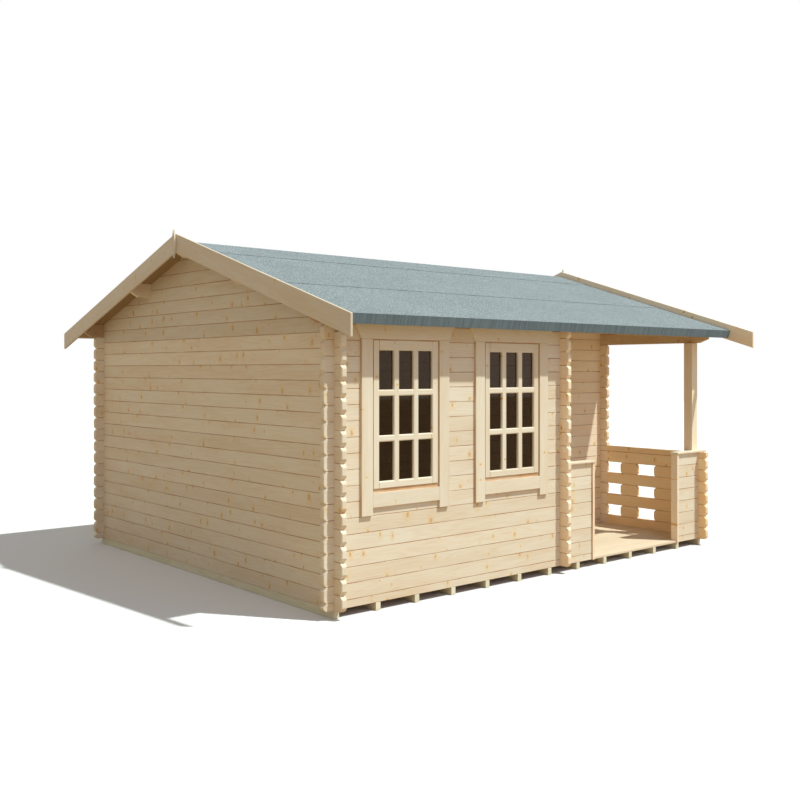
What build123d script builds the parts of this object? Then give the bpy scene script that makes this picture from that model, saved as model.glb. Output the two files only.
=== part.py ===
from build123d import *
import math
import os

os.makedirs("parts", exist_ok=True)

# Log cabin with a corner porch. Millimetres, +Z up, ground at Z = 0, origin under the middle.
# While drawing, X runs from the left gable's outer face along the ridge, Y from the front
# wall's outer face to the back, and the walls start on top of the bearers.

# Logs
logPitch = 114.0            # height of one log
logThick = 44.0             # thickness of every log wall
logEnd = 90.0               # how far a log runs past the wall it crosses
endDepth = 22.0             # chamfer on a log's end, along the log
endRise = 28.0              # the same chamfer, up the end face
jointDepth = 3.0            # V joint between two logs, into the face
jointHalf = 3.0             # half the height of that V joint
lapShare = 0.25             # share of a log cut away above and below where two logs cross

# Plan
cabinLength = 4516.0        # over the left and right walls
cabinWidth = 3884.0         # over the front and back walls
partitionX = 2390.0         # left face of the wall between the room and the porch
porchDepth = 1200.0         # front face of the wall behind the porch
gableCourse = 17            # whole logs under each gable
eaveCourse = 17.5           # logs under each eave log
railCourse = 7.5            # logs in the porch's half-height panels

# Bearers and floors
bearerHigh = 60.0
bearerWide = 44.0
bearerCount = 13
floorThick = 20.0
floorGap = 2.0              # between a floor and a wall

# Roof
roofAngle = 17.7            # degrees
eaveOut = 218.0             # eave edge in front of the wall face
eaveTop = 2059.0            # top of the covering at the eave, above the walls' foot
feltThick = 3.0
feltStep = 2.0              # how far one sheet stands above the next
feltCap = 382.0             # half the ridge sheet's width, level
feltSheet = 960.0           # level width of the sheet below it; the eave sheet takes the rest
boardThick = 19.0           # roof boarding
fasciaThick = 18.0
fasciaDepth = 76.5          # covered edge, square to the slope
vergeOut = 207.0            # outer face of a bargeboard beyond the gable wall
bargeThick = 20.0
bargeWide = 148.0
bargeOut = 457.0            # a bargeboard's foot beyond the wall face
bargeTop = 2040.0           # a bargeboard's top corner at its foot
plateWide = 72.0            # diamond plate over the bargeboards' joint
plateHigh = 244.0
plateThick = 18.0
plateAbove = 35.0           # its tip above the bargeboards' peak
purlinHigh = 114.0          # at its middle
purlinThick = 44.0
purlinY = 1062.0            # middle of the front purlin
noseLong = 100.0            # end of the gable's lowest log beyond the walls
noseRise = 36.0             # its underside slopes up by this much out there
toeLong = 60.0              # slanted cut under the ends of the eave logs and purlins, along the log
toeHigh = 36.0

# Porch rail, panels and post
leftPanel = 380.0           # logs of the left panel, from the wall beside it
rightPanel = 387.0          # logs of the right panel, back from the end of the cabin
trimThick = 28.0
trimWide = 71.0
capThick = 18.0
capOut = 9.0                # past the trim, front and back
capSide = 2.0               # past the trim, towards the opening
capPast = 70.0              # right cap past the end of the cabin, over its log ends
postSide = 94.0
postGap = 5.0               # behind the front panel
seatGap = 1.0               # around the post in the cap
railHoles = ((518.0, 722.0), (938.0, None))   # from, to; None is the wall's own log ends
railRows = (1, 3, 5)        # courses with holes

# Windows
windowX = (654.0, 1788.0)
windowClear = 646.0         # between the outside boards
trimBoard = 102.0
boardOut = 20.0
sideFoot = 630.0
sillLow = 685.0
sillHigh = 790.0
headLow = 1893.0
headHigh = 2000.0
headFlare = 55.0            # the head board's slanted ends
frameFace = 40.0
frameBack = 26.0            # frame depth behind the wall's inner face
frameFit = 2.0              # around a frame in its opening
sashFit = 0.3               # around a sash or door leaf, held shut in its frame
sashOut = 8.0
sashThick = 42.0
sashLow = 805.0
sashHigh = 1890.0
paneWide = 138.0
paneHigh = 284.0
barWide = 50.0
barHigh = 46.0
paneFoot = 868.0
barBevel = 9.0
glassThick = 4.0
glassBack = 16.0            # glass behind the sash's front face
glassIn = 8.0               # glass beyond the daylight, in its rebate

# Door
doorShare = 0.474           # middle of the door, as a share of the porch's back wall
doorCourse = 16.5           # courses up to the top of the doorway
doorLeaf = 840.0
doorRail = 95.0
doorThick = 42.0
handleHigh = 1000.0
handleRadius = 9.0
handleLong = 120.0
handleOut = 35.0            # middle of the lever in front of its plate
handlePlate = (34.0, 6.0, 160.0)
leverUp = 20.0              # lever above the plate's middle
beyond = 99.0               # how far a cutter runs past what it cuts

# Worked out from the above
slope = math.radians(roofAngle)
rise = math.tan(slope)
ridgeY = cabinWidth / 2
rightX = cabinLength - logThick
partitionEnd = partitionX + logThick
backY = cabinWidth - logThick
recessBack = porchDepth + logThick
leftPanelEnd = partitionEnd + leftPanel
rightPanelEnd = cabinLength - rightPanel
doorX = partitionEnd + doorShare * (rightX - partitionEnd)
railTop = railCourse * logPitch
gableFoot = gableCourse * logPitch
eaveFoot = eaveCourse * logPitch
roofDepth = (feltThick + boardThick) / math.cos(slope)
roofStart = -vergeOut + bargeThick
roofEnd = cabinLength + vergeOut - bargeThick
shift = Vector(-cabinLength / 2, -ridgeY, bearerHigh)
purlinPlaces = (purlinY, cabinWidth - purlinY, ridgeY)
nodes = {}


def keep(name, *pieces):
    solids = []
    for piece in pieces:
        solids += list(piece.solids())
    moved = [solid.translate(shift) for solid in solids]
    nodes[name] = moved[0] if len(moved) == 1 else Compound(children=moved)


def box(x0, x1, y0, y1, z0, z1):
    centre = ((x0 + x1) / 2, (y0 + y1) / 2, (z0 + z1) / 2)
    return Pos(*centre) * Box(x1 - x0, y1 - y0, z1 - z0)


def plate(points, across, depth, along="x"):
    # A flat outline of (length, height) points, stood up along X or Y and given its thickness.
    if along == "x":
        corners = [Vector(u, across, z) for u, z in points]
        push = Vector(0, depth, 0)
    else:
        corners = [Vector(across, u, z) for u, z in points]
        push = Vector(depth, 0, 0)
    return Solid.extrude(Face(Wire.make_polygon(corners, close=True)), push)


def underRoof(y):
    # Height of the roof boarding's underside over a point of the plan.
    level = y if y <= ridgeY else cabinWidth - y
    return eaveTop + (level + eaveOut) * rise - roofDepth


def phase(along):
    # Walls along Y start with a whole log, walls along X with half a log.
    return 0 if along == "y" else logPitch / 2


def isJoint(z, along):
    logs = (z - phase(along)) / logPitch
    return z > 1 and abs(logs - round(logs)) < 0.01


def courses(low, high, along):
    # Heights that bound the logs of a wall between low and high.
    joints = [phase(along) + i * logPitch for i in range(30)]
    return [low] + [z for z in joints if low + 1 < z < high - 1] + [high]


def endPoints(u, sign, levels, along, plain):
    # One end of a wall seen square on. Each log's end is chamfered above and below.
    points = []
    for low, high in zip(levels, levels[1:]):
        if plain(low):
            points += [(u, low), (u, high)]
            continue
        up = min(endRise, (high - low) * 0.3)
        if isJoint(low, along) or low == 0:
            points += [(u - sign * endDepth, low), (u, low + up)]
        else:
            points.append((u, low))
        if isJoint(high, along):
            points += [(u, high - up), (u - sign * endDepth, high)]
        else:
            points.append((u, high))
    return points


def whole(z):
    return True


def never(z):
    return False


def wall(u0, u1, low, high, across, along, crossings=(), plain0=never, plain1=never, faces=(0, 1)):
    # A log wall with chamfered ends and half-lapped crossings. The faces that show have V joints,
    # up to the outermost crossing at a chamfered end.
    levels = courses(low, high, along)
    right = endPoints(u1, 1, levels, along, plain1)
    left = endPoints(u0, -1, levels, along, plain0)
    solid = plate(right + left[::-1], across, logThick, along)
    start = crossings[0] if crossings and plain0 is never else u0
    stop = crossings[-1] + logThick if crossings and plain1 is never else u1
    solid = grooves(solid, start, stop, levels, across, along, faces)
    return lap(solid, crossings, low, high, across, along)


def grooves(solid, u0, u1, levels, across, along, faces):
    # Face 0 is the one at the front or left, face 1 the one at the back or right.
    tools = []
    sides = ((across, 1), (across + logThick, -1))
    for joint in levels:
        if not isJoint(joint, along):
            continue
        for face, inward in [sides[i] for i in faces]:
            vee = [(face - inward, joint - jointHalf - 1), (face - inward, joint + jointHalf + 1),
                   (face + inward * jointDepth, joint)]
            if along == "x":
                corners = [Vector(u0 - 1, v, z) for v, z in vee]
                push = Vector(u1 - u0 + 2, 0, 0)
            else:
                corners = [Vector(v, u0 - 1, z) for v, z in vee]
                push = Vector(0, u1 - u0 + 2, 0)
            tools.append(Solid.extrude(Face(Wire.make_polygon(corners, close=True)), push))
    return solid - tools


def lap(solid, crossings, low, high, across, along):
    # The half of each log that the crossing log takes.
    start = -lapShare if along == "y" else lapShare
    tools = []
    for u in crossings:
        level = (start - 1) * logPitch
        while level < high:
            top = level + 2 * lapShare * logPitch
            if top > low:
                if along == "x":
                    tools.append(box(u, u + logThick, across - 1, across + logThick + 1, level, top))
                else:
                    tools.append(box(across - 1, across + logThick + 1, u, u + logThick, level, top))
            level += logPitch
    return solid - tools if tools else solid


def roofCut(x0, x1):
    # Everything above the front slope's boarding, to trim a wall by the roof.
    sky = underRoof(ridgeY) + beyond
    top = [(-bargeOut, underRoof(-bargeOut)), (ridgeY, underRoof(ridgeY)), (ridgeY, sky), (-bargeOut, sky)]
    return plate(top, x0, x1 - x0, "y")


# Bearers and floors, as built
spacing = (cabinLength - bearerWide) / (bearerCount - 1)
bearers = [box(i * spacing, i * spacing + bearerWide, 0, cabinWidth, -bearerHigh, 0)
           for i in range(bearerCount)]
keep("floor_bearers", *bearers)

roomFloor = box(logThick + floorGap, rightX - floorGap, recessBack + floorGap, backY - floorGap, 0,
                floorThick)
roomFloor += box(logThick + floorGap, partitionX - floorGap, logThick + floorGap,
                 recessBack + floorGap, 0, floorThick)
innerEnd = logEnd + floorGap
roomFloor -= box(partitionX - innerEnd, partitionX, porchDepth - floorGap, recessBack + floorGap, -1, beyond)
roomFloor -= box(partitionX - floorGap, partitionEnd + floorGap, recessBack, recessBack + innerEnd, -1,
                 beyond)
keep("room_floor", roomFloor)

porchFloor = box(partitionEnd + floorGap, rightX - floorGap, logThick + trimWide / 2, porchDepth - floorGap,
                 0, floorThick)
porchFloor += box(leftPanelEnd + trimThick + floorGap, rightPanelEnd - trimThick - floorGap, 0,
                  logThick + trimWide / 2, 0, floorThick)
keep("porch_floor", porchFloor)


def windowHole(x):
    half = windowClear / 2 + frameFace - sashFit + frameFit
    return box(x - half, x + half, -1, logThick + 1, sashLow - frameFace - frameFit,
               sashHigh + frameFace + frameFit)


# Long walls, under the eave logs
frontLow = wall(-logEnd, partitionEnd, 0, railTop, 0, "x", (0, partitionX), plain1=whole, faces=(0,))
frontHigh = wall(-logEnd, partitionEnd + logEnd, railTop, eaveFoot, 0, "x", (0, partitionX), faces=(0,))
keep("front_wall", frontLow + frontHigh - [windowHole(x) for x in windowX])
keep("back_wall", wall(-logEnd, cabinLength + logEnd, 0, eaveFoot, backY, "x", (0, rightX), faces=(1,)))

# Wall behind the porch, in three pieces around the doorway
doorTop = doorCourse * logPitch
doorHalf = doorLeaf / 2 + sashFit + frameFace + frameFit
recessStart, recessEnd = partitionX - logEnd, cabinLength + logEnd
recessOver = wall(recessStart, recessEnd, doorTop, underRoof(recessBack), porchDepth, "x",
                  (partitionX, rightX), faces=(0,))
keep("recess_wall_left", wall(recessStart, doorX - doorHalf, 0, doorTop, porchDepth, "x", (partitionX,),
                              plain1=whole, faces=(0,)))
keep("recess_wall_right", wall(doorX + doorHalf, recessEnd, 0, doorTop, porchDepth, "x", (rightX,),
                               plain0=whole, faces=(0,)))
keep("recess_wall_over", recessOver - roofCut(recessStart - 1, recessEnd + 1))

# Cross walls
keep("left_wall", wall(-logEnd, cabinWidth + logEnd, 0, gableFoot, 0, "y", (0, backY), faces=(0,)))


def runsOn(z):
    # Courses of the right wall that carry on into the porch rail.
    return z < railTop and round(z / logPitch) not in railRows


rightLow = wall(porchDepth - logEnd, cabinWidth + logEnd, 0, railTop, rightX, "y", (porchDepth, backY),
                plain0=runsOn, faces=(1,))
rightHigh = wall(porchDepth - logEnd, cabinWidth + logEnd, railTop, gableFoot, rightX, "y",
                 (porchDepth, backY), faces=(1,))
keep("right_wall", rightLow + rightHigh)


def purlinSlots(across):
    # Room for the purlins where they pass through a wall along Y.
    half = purlinThick / 2
    return [box(across - 1, across + logThick + 1, y - half, y + half, underRoof(y) - purlinHigh,
                underRoof(y) + beyond) for y in purlinPlaces]


partition = wall(-logEnd, recessBack + logEnd, 0, underRoof(recessBack + logEnd), partitionX, "y",
                 (0, porchDepth), faces=(1,))
keep("partition_wall", partition - roofCut(partitionX - 1, partitionEnd + 1) - purlinSlots(partitionX))


def gable(across, crossings, faces):
    # The triangle of logs over an end wall. Its lowest log slopes up outside the walls.
    farEnd = cabinWidth + noseLong
    points = [(0, gableFoot), (cabinWidth, gableFoot), (farEnd, gableFoot + noseRise),
              (farEnd, underRoof(farEnd)), (ridgeY, underRoof(ridgeY)), (-noseLong, underRoof(-noseLong)),
              (-noseLong, gableFoot + noseRise)]
    solid = plate(points, across, logThick, "y")
    levels = courses(gableFoot, underRoof(ridgeY), "y")
    solid = grooves(solid, -noseLong, farEnd, levels, across, "y", faces)
    solid = lap(solid, (0, backY), gableFoot, eaveFoot + logPitch, across, "y")
    solid = lap(solid, crossings, gableFoot, underRoof(recessBack), across, "y")
    return solid - purlinSlots(across)


keep("left_gable", gable(0, (), (0,)))
keep("right_gable", gable(rightX, (porchDepth,), (0, 1)))


def eaveLog(back):
    # The top log of a long wall, bevelled to the roof and run out to the bargeboards.
    y0, y1 = 0, logThick
    section = [Vector(roofStart, y0, eaveFoot), Vector(roofStart, y1, eaveFoot),
               Vector(roofStart, y1, underRoof(y1)), Vector(roofStart, y0, underRoof(y0))]
    log = Solid.extrude(Face(Wire.make_polygon(section, close=True)), Vector(roofEnd - roofStart, 0, 0))
    log -= endCuts(y0 - 1, y1 + 1, eaveFoot)
    crossings = (0, rightX) if back else (0, partitionX, rightX)
    log = lap(log, crossings, eaveFoot, underRoof(y1), y0, "x")
    log = grooves(log, roofStart, roofEnd, [eaveFoot], y0, "x", (0,))
    return log.mirror(Plane.XZ.offset(-ridgeY)) if back else log


def endCuts(y0, y1, low):
    # Slanted cuts under both ends of a log that carries the roof's overhang.
    tools = []
    for x, sign in ((roofStart, 1), (roofEnd, -1)):
        corners = [(x - sign * toeLong, low - toeHigh), (x + sign * 2 * toeLong, low - toeHigh),
                   (x - sign * toeLong, low + 2 * toeHigh)]
        tools.append(plate(corners, y0, y1 - y0, "x"))
    return tools


keep("eave_logs", eaveLog(False), eaveLog(True))


def purlin(y):
    half = purlinThick / 2
    low = underRoof(y) - purlinHigh
    section = [(y - half, low), (y + half, low), (y + half, underRoof(y + half))]
    if y == ridgeY:
        section.append((y, underRoof(y)))
    section.append((y - half, underRoof(y - half)))
    beam = plate(section, roofStart, roofEnd - roofStart, "y")
    return beam - endCuts(y - half - 1, y + half + 1, low)


front, back, middle = [purlin(y) for y in purlinPlaces]
keep("side_purlins", front, back)
keep("ridge_purlin", middle)


def onSlope(along, depth):
    # A point given by its distance up the slope from the eave and its depth under the covering.
    return (-eaveOut + along * math.cos(slope) + depth * math.sin(slope),
            eaveTop + along * math.sin(slope) - depth * math.cos(slope))


def toRidge(depth):
    return (ridgeY, onSlope(0, 0)[1] + (ridgeY + eaveOut) * rise - depth / math.cos(slope))


def roofPiece(points, back=False):
    piece = plate(points, roofStart, roofEnd - roofStart, "y")
    return piece.mirror(Plane.XZ.offset(-ridgeY)) if back else piece


under = feltThick + boardThick
boardStart = feltThick + fasciaThick
boarding = [onSlope(boardStart, feltThick), toRidge(feltThick), toRidge(under), onSlope(boardStart, under)]
run = ridgeY + eaveOut
seams = [level / math.cos(slope) for level in (run - feltCap - feltSheet, run - feltCap)]
cover = [onSlope(0, fasciaDepth), onSlope(0, 0), onSlope(seams[0], feltStep), onSlope(seams[0], 0),
         onSlope(seams[1], feltStep), onSlope(seams[1], feltThick), onSlope(feltThick, feltThick),
         onSlope(feltThick, fasciaDepth)]
fascia = [onSlope(feltThick, feltThick), onSlope(boardStart, feltThick),
          onSlope(boardStart, fasciaDepth), onSlope(feltThick, fasciaDepth)]
for side, back in (("front", False), ("back", True)):
    keep("roof_boards_" + side, roofPiece(boarding, back))
    keep("roof_felt_" + side, roofPiece(cover, back))
keep("eave_fascias", roofPiece(fascia), roofPiece(fascia, True))


def mirrored(point):
    return (cabinWidth - point[0], point[1])


capping = [onSlope(seams[1], feltThick), onSlope(seams[1], 0), toRidge(0),
           mirrored(onSlope(seams[1], 0)), mirrored(onSlope(seams[1], feltThick)), toRidge(feltThick)]
keep("ridge_felt", roofPiece(capping))

# Bargeboards and the diamond plates over their joints
bargeDrop = bargeWide / math.cos(slope)
bargePeak = bargeTop + (ridgeY + bargeOut) * rise
barge = [(-bargeOut, bargeTop - bargeDrop), (-bargeOut, bargeTop), (ridgeY, bargePeak),
         (ridgeY, bargePeak - bargeDrop)]
for end, across in (("left", -vergeOut), ("right", roofEnd)):
    board = plate(barge, across, bargeThick, "y")
    keep("bargeboard_" + end + "_front", board)
    keep("bargeboard_" + end + "_back", board.mirror(Plane.XZ.offset(-ridgeY)))
plateTop = bargePeak + plateAbove
diamond = [(ridgeY, plateTop), (ridgeY - plateWide / 2, plateTop - plateHigh / 2),
           (ridgeY, plateTop - plateHigh), (ridgeY + plateWide / 2, plateTop - plateHigh / 2)]
keep("apex_plates", plate(diamond, -vergeOut - plateThick, plateThick, "y"),
     plate(diamond, cabinLength + vergeOut, plateThick, "y"))

# Porch: half-height panels, end trims, caps, open rail and corner post
keep("porch_panel_left", wall(partitionEnd, leftPanelEnd, 0, railTop, 0, "x", plain0=whole, plain1=whole))
keep("porch_panel_right", wall(rightPanelEnd, cabinLength + logEnd, 0, railTop, 0, "x", (rightX,),
                               plain0=whole))
trimFront = (logThick - trimWide) / 2
trims = [box(leftPanelEnd, leftPanelEnd + trimThick, trimFront, trimFront + trimWide, 0, railTop),
         box(rightPanelEnd - trimThick, rightPanelEnd, trimFront, trimFront + trimWide, 0, railTop)]
keep("panel_trims", *trims)

rail = wall(-logEnd, porchDepth - logEnd, 0, railTop, rightX, "y", (0,), plain1=whole)
for course in railRows:
    low, high = course * logPitch, (course + 1) * logPitch
    for start, stop in railHoles:
        # A hole is bounded by log ends, so its short sides bulge into it.
        near = [(start - endDepth, low), (start, low + endRise), (start, high - endRise),
                (start - endDepth, high)]
        far = [(porchDepth, high), (porchDepth, low)]
        if stop:
            far = [(stop + endDepth, high), (stop, high - endRise), (stop, low + endRise),
                   (stop + endDepth, low)]
        rail -= plate(near + far, rightX - 1, logThick + 2, "y")
keep("porch_rail", rail)

postY = logThick + postGap
postX = rightX + logThick / 2 - postSide / 2
post = box(postX, postX + postSide, postY, postY + postSide, railTop, gableFoot)
keep("corner_post", post)
capFront, capBack = trimFront - capOut, trimFront + trimWide + capOut
capTop = railTop + capThick
leftCap = box(partitionEnd, leftPanelEnd + trimThick + capSide, capFront, capBack, railTop, capTop)
leftCap -= box(partitionEnd - 1, partitionEnd + logEnd + seatGap, -seatGap, logThick + seatGap, railTop - 1,
               capTop + 1)
rightCap = box(rightPanelEnd - trimThick - capSide, cabinLength + capPast, capFront, capBack, railTop, capTop)
rightCap -= box(postX - seatGap, cabinLength + beyond, postY - seatGap, capBack + 1, railTop - 1,
                railTop + beyond)
keep("panel_caps", leftCap, rightCap)


def boarded(x, across, half, foot, head):
    # Two upright boards beside an opening.
    return [box(x - half - trimBoard, x - half, across - boardOut, across, foot, head),
            box(x + half, x + half + trimBoard, across - boardOut, across, foot, head)]


def headBoard(x, across, half, low, high):
    # Its ends slant out, so it is longer on top.
    wide = half + trimBoard
    points = [(x - wide, low), (x + wide, low), (x + wide + headFlare, high), (x - wide - headFlare, high)]
    return plate(points, across - boardOut, boardOut, "x")


def frame(x, front, back, half, low, high, sill):
    outer = box(x - half - frameFace, x + half + frameFace, front, back, low - sill, high + frameFace)
    return outer - box(x - half, x + half, front - 1, back + 1, low, high)


def paneHoles(x, front, foot, thick):
    # Nine panes; the outer edge of each bar is bevelled.
    tools = []
    for column in range(3):
        for row in range(3):
            px = x + (column - 1) * (paneWide + barWide)
            pz = foot + paneHigh / 2 + row * (paneHigh + barHigh)
            hole = Pos(px, front + thick / 2, pz) * Box(paneWide, thick + 2, paneHigh)
            mouth = Plane(origin=(px, front, pz), x_dir=(1, 0, 0), z_dir=(0, 1, 0))
            bevel = loft([mouth * Rectangle(paneWide + 2 * barBevel, paneHigh + 2 * barBevel),
                          mouth.offset(barBevel) * Rectangle(paneWide, paneHigh)])
            tools += [hole, bevel]
    return tools


def glazing(x, front, foot):
    # One sheet behind the bars, let into the timber around the daylight.
    half = 1.5 * paneWide + barWide + glassIn
    return box(x - half, x + half, front + glassBack, front + glassBack + glassThick,
               foot - glassIn, foot + 3 * paneHigh + 2 * barHigh + glassIn)


# Windows
sides, heads, sills, frames, sashes, panes = [], [], [], [], [], []
half = windowClear / 2
for x in windowX:
    sides += boarded(x, 0, half, sideFoot, headLow)
    heads.append(headBoard(x, 0, half, headLow, headHigh))
    sills.append(box(x - half, x + half, -boardOut, 0, sillLow, sillHigh))
    inner = half - sashFit
    frames.append(frame(x, 0, logThick + frameBack, inner, sashLow - sashFit, sashHigh + sashFit, frameFace))
    sash = box(x - inner + sashFit, x + inner - sashFit, -sashOut, sashThick - sashOut, sashLow, sashHigh)
    sheet = glazing(x, -sashOut, paneFoot)
    sashes.append(sash - paneHoles(x, -sashOut, paneFoot, sashThick) - sheet)
    panes.append(sheet)
keep("window_boards", *sides)
keep("window_heads", *heads)
keep("window_sills", *sills)
keep("window_frames", *frames)
keep("window_sashes", *sashes)
keep("window_glass", *panes)

# Door, fixed shut
doorFoot = floorThick + frameFit
leafTop = doorTop - frameFit - frameFace - sashFit
doorInner = doorLeaf / 2 + sashFit
keep("door_frame", frame(doorX, porchDepth, recessBack + frameBack, doorInner, doorFoot,
                         doorTop - frameFit - frameFace, 0))
leaf = box(doorX - doorLeaf / 2, doorX + doorLeaf / 2, porchDepth, porchDepth + doorThick,
           doorFoot + sashFit, leafTop)
doorPaneFoot = leafTop - doorRail - 3 * paneHigh - 2 * barHigh
doorSheet = glazing(doorX, porchDepth, doorPaneFoot)
leaf = leaf - paneHoles(doorX, porchDepth, doorPaneFoot, doorThick) - doorSheet
panelSide = doorLeaf / 2 - doorRail
panelFoot = doorFoot + 2 * doorRail
recess = box(doorX - panelSide, doorX + panelSide, porchDepth - 1, porchDepth + barBevel,
             panelFoot, doorPaneFoot - doorRail)
keep("door_leaf", leaf - recess)
keep("door_glass", doorSheet)
boardHalf, boardTop = doorHalf - frameFit - frameFace / 2, doorTop - frameFace / 2
keep("door_boards", *boarded(doorX, porchDepth, boardHalf, floorThick, boardTop))
keep("door_head", headBoard(doorX, porchDepth, boardHalf, boardTop, boardTop + headHigh - headLow))
handleX = doorX - doorLeaf / 2 + doorRail / 2
wide, deep, high = handlePlate
handle = box(handleX - wide / 2, handleX + wide / 2, porchDepth - deep, porchDepth,
             handleHigh - high / 2, handleHigh + high / 2)
leverY, leverZ = porchDepth - deep - handleOut, handleHigh + leverUp
handle += Pos(handleX, leverY + handleOut / 2, leverZ) * Rot(90, 0, 0) * Cylinder(handleRadius, handleOut)
handle += Pos(handleX + handleLong / 2 - handleRadius, leverY, leverZ) * Rot(0, 90, 0) \
    * Cylinder(handleRadius, handleLong)
keep("door_handle", handle)

for name, shape in nodes.items():
    export_step(shape, os.path.join("parts", name + ".step"))
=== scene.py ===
import bmesh
import bpy
import math
import random
from mathutils import Matrix, Vector


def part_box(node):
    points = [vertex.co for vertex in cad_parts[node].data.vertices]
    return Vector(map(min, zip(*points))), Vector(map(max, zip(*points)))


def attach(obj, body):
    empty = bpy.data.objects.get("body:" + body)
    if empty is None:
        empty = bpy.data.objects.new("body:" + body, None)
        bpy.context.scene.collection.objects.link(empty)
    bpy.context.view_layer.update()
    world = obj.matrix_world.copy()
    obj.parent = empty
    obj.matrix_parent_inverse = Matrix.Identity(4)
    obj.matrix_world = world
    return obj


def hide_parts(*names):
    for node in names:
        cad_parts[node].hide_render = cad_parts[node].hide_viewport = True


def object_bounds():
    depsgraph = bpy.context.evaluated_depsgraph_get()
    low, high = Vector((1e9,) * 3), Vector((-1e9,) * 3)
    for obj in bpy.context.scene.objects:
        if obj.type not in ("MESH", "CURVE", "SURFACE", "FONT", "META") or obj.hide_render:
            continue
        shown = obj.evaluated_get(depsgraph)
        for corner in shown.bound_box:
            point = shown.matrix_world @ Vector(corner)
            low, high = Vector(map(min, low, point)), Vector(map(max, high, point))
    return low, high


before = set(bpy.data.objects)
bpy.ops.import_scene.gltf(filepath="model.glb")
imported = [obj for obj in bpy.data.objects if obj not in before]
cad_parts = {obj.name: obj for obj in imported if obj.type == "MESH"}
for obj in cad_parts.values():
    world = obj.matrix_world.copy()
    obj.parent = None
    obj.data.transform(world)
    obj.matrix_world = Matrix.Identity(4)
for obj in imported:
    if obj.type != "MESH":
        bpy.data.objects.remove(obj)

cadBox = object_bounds()
chance = random.Random(24)
tiny, near = 1e-6, 1e-5
print("frame loaded:", len(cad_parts), "nodes")

# sizes shared by all the pieces, in metres, as in the solids
cabin = {
    "log": .114,             # height of a log
    "thick": .044,
    "logEnd": .090,          # log ends past a crossing
    "length": 4.516,
    "width": 3.884,
    "partition": 2.390,      # left face of the wall beside the porch
    "porch": 1.200,          # front face of the wall behind the porch
    "railTop": .855,
    "gableFoot": 1.938,
    "eaveFoot": 1.995,
}
roof = {
    "angle": math.radians(17.7),
    "eaveOut": .218,
    "eaveTop": 2.059,
    "felt": .003,
    "board": .019,
    "verge": .207,           # bargeboard's outer face beyond the gable
    "barge": .020,
}
logThick, logEnd = cabin["thick"], cabin["logEnd"]
rightX = cabin["length"] - logThick
backY = cabin["width"] - logThick
ridgeY = cabin["width"] / 2
partitionEnd = cabin["partition"] + logThick
recessBack = cabin["porch"] + logThick
roofStart = -roof["verge"] + roof["barge"]
roofEnd = cabin["length"] + roof["verge"] - roof["barge"]
rise = math.tan(roof["angle"])
roofDepth = (roof["felt"] + roof["board"]) / math.cos(roof["angle"])

# the walls' front left foot, read from the frame
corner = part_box("left_wall")[0] + Vector((0, logEnd, 0))
axes = {"x": Vector((1, 0, 0)), "y": Vector((0, 1, 0)), "z": Vector((0, 0, 1))}
upFront = Vector((0, math.cos(roof["angle"]), math.sin(roof["angle"])))
offFront = Vector((0, -math.sin(roof["angle"]), math.cos(roof["angle"])))


def flip(v):
    return Vector((v[0], -v[1], v[2]))


def underRoof(y):
    level = y if y <= ridgeY else cabin["width"] - y
    return roof["eaveTop"] + (level + roof["eaveOut"]) * rise - roofDepth


# planes that keep a piece under the boarding
roofCuts = [((0, 0, underRoof(0)), offFront), ((0, cabin["width"], underRoof(0)), flip(offFront))]


# shader nodes
def addNode(tree, kind, inputs=None, **settings):
    node = tree.nodes.new("ShaderNode" + kind)
    for key, value in settings.items():
        setattr(node, key, value)
    for key, value in (inputs or {}).items():
        if isinstance(value, bpy.types.NodeSocket):
            tree.links.new(value, node.inputs[key])
        else:
            node.inputs[key].default_value = value
    return node


def calc(tree, operation, *values):
    return addNode(tree, "Math", dict(enumerate(values)), operation=operation).outputs[0]


def ramp(tree, value, low, high, toLow=0.0, toHigh=1.0):
    # a smooth step from low to high
    return addNode(tree, "MapRange", {"Value": value, "From Min": low, "From Max": high,
                                      "To Min": toLow, "To Max": toHigh},
                   interpolation_type="SMOOTHSTEP").outputs["Result"]


def stretch(tree, place, factors):
    return addNode(tree, "VectorMath", {0: place, 1: factors}, operation="MULTIPLY").outputs[0]


def noise(tree, place, scale, detail, **more):
    return addNode(tree, "TexNoise", {"Vector": place, "Scale": scale, "Detail": detail, **more}).outputs[0]


def mixColour(tree, share, first, second, blend="MIX"):
    return addNode(tree, "Mix", {0: share, 6: first, 7: second}, data_type="RGBA",
                   blend_type=blend).outputs[2]


def colour(code):
    # a screen colour as the shader's own numbers
    parts = [int(code[i:i + 2], 16) / 255 for i in (1, 3, 5)]
    return [p / 12.92 if p <= .04045 else ((p + .055) / 1.055) ** 2.4 for p in parts] + [1.0]


def newGroup(name, inputs, outputs):
    tree = bpy.data.node_groups.new(name, "ShaderNodeTree")
    for label, kind, value in inputs:
        socket = tree.interface.new_socket(label, in_out="INPUT", socket_type="NodeSocket" + kind)
        socket.default_value = value
    for label, kind in outputs:
        tree.interface.new_socket(label, in_out="OUTPUT", socket_type="NodeSocket" + kind)
    return tree, tree.nodes.new("NodeGroupInput").outputs, tree.nodes.new("NodeGroupOutput")


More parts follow.
